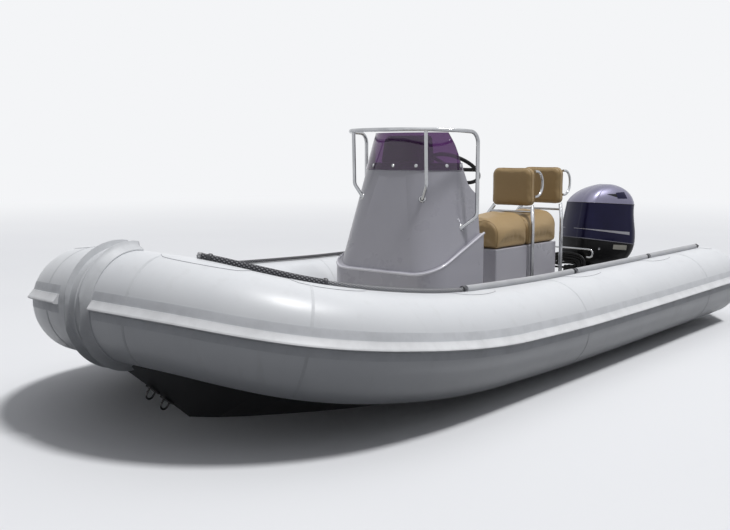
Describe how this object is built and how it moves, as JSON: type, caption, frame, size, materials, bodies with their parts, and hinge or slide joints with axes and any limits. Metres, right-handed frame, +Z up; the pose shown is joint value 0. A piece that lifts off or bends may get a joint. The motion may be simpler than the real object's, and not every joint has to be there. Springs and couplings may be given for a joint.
{
  "type": "rigid inflatable boat",
  "caption": "Inflatable boat with a V hull, one wrapped buoyancy tube, centre console with windscreen and rail, jockey seats in line and a steered, tilting outboard motor.",
  "frame": {"origin": "amidships on the centreline at the waterline", "axes": "+X to the bow, +Y to port, +Z up"},
  "size_m": [5.7041, 2.6726, 2.3506],
  "materials": {
    "tube": "matt coated fabric",
    "tape": "satin moulded rubber",
    "strake": "satin moulded rubber",
    "hull_gelcoat": "gloss gelcoat",
    "liner_gelcoat": "gloss gelcoat with moulded non-slip",
    "console_gelcoat": "gloss gelcoat",
    "rope": "braided polyester",
    "black_plastic": "moulded",
    "steel": "polished stainless",
    "screen": "tinted acrylic",
    "vinyl": "stitched vinyl",
    "cowl": "metallic",
    "cowl_cap": "metallic",
    "motor_black": "satin",
    "propeller_alloy": "painted"
  },
  "bodies": {
    "boat": {"backrest_frame_front": "steel", "backrest_frame_rear": "steel", "backrest_pad_front": "vinyl", "backrest_pad_rear": "vinyl", "bow_band": "tape", "bow_eyes": "steel", "console_lower": "console_gelcoat", "console_rail": "steel", "console_upper": "console_gelcoat", "deck_liner": "liner_gelcoat", "hand_loop_port_front": "steel", "hand_loop_port_rear": "steel", "hand_loop_starboard_front": "steel", "hand_loop_starboard_rear": "steel", "helm_unit": "black_plastic", "hull": "hull_gelcoat", "instrument_hood": "black_plastic", "lifeline_fittings": "black_plastic", "lifeline_port": "rope", "lifeline_starboard": "rope", "motor_clamp_bracket": "motor_black", "seat_cushion_front": "vinyl", "seat_cushion_rear": "vinyl", "seat_pod_front": "console_gelcoat", "seat_pod_rear": "console_gelcoat", "stern_eyes": "steel", "strake_port": "strake", "strake_starboard": "strake", "throttle_control": "black_plastic", "transom": "hull_gelcoat", "tube_cone_port": "tube", "tube_cone_starboard": "tube", "tube_port": "tube", "tube_starboard": "tube", "windscreen": "screen"},
    "motor_tilt": {"motor_swivel_bracket": "motor_black", "steering_cylinder": "black_plastic"},
    "motor_steer": {"motor_leg": "motor_black", "motor_gearcase": "motor_black", "motor_lower_cowl": "motor_black", "motor_upper_cowl": "cowl", "motor_cowl_cap": "cowl_cap", "motor_powerhead": "motor_black"},
    "propeller": {"propeller": "propeller_alloy"},
    "steering_wheel": {"steering_wheel": "black_plastic"}
  },
  "joints": [
    {"name": "motor_tilt", "type": "hinge", "parent": "boat", "child": "motor_tilt", "pos_m": [-2.262, 0, 0.362], "axis": [0, 1, 0], "range_deg": [0, 64]},
    {"name": "motor_steer", "type": "hinge", "parent": "motor_tilt", "child": "motor_steer", "pos_m": [-2.44954, 0, 0.34889], "axis": [-0.0698, 0, 0.9976], "range_deg": [-2, 62]},
    {"name": "propeller_spin", "type": "hinge", "parent": "motor_steer", "child": "propeller", "pos_m": [-2.64649, 0.15, -0.55906], "axis": [0.8639, -0.5, 0.0604], "continuous": true},
    {"name": "helm_turn", "type": "hinge", "parent": "boat", "child": "steering_wheel", "pos_m": [-0.094, 0.14, 1.279], "axis": [-0.5592, 0, 0.829], "range_deg": [-1260, 60]}
  ],
  "couplings": [
    {"joint": "helm_turn", "follows": "motor_steer", "ratio": -20}
  ]
}
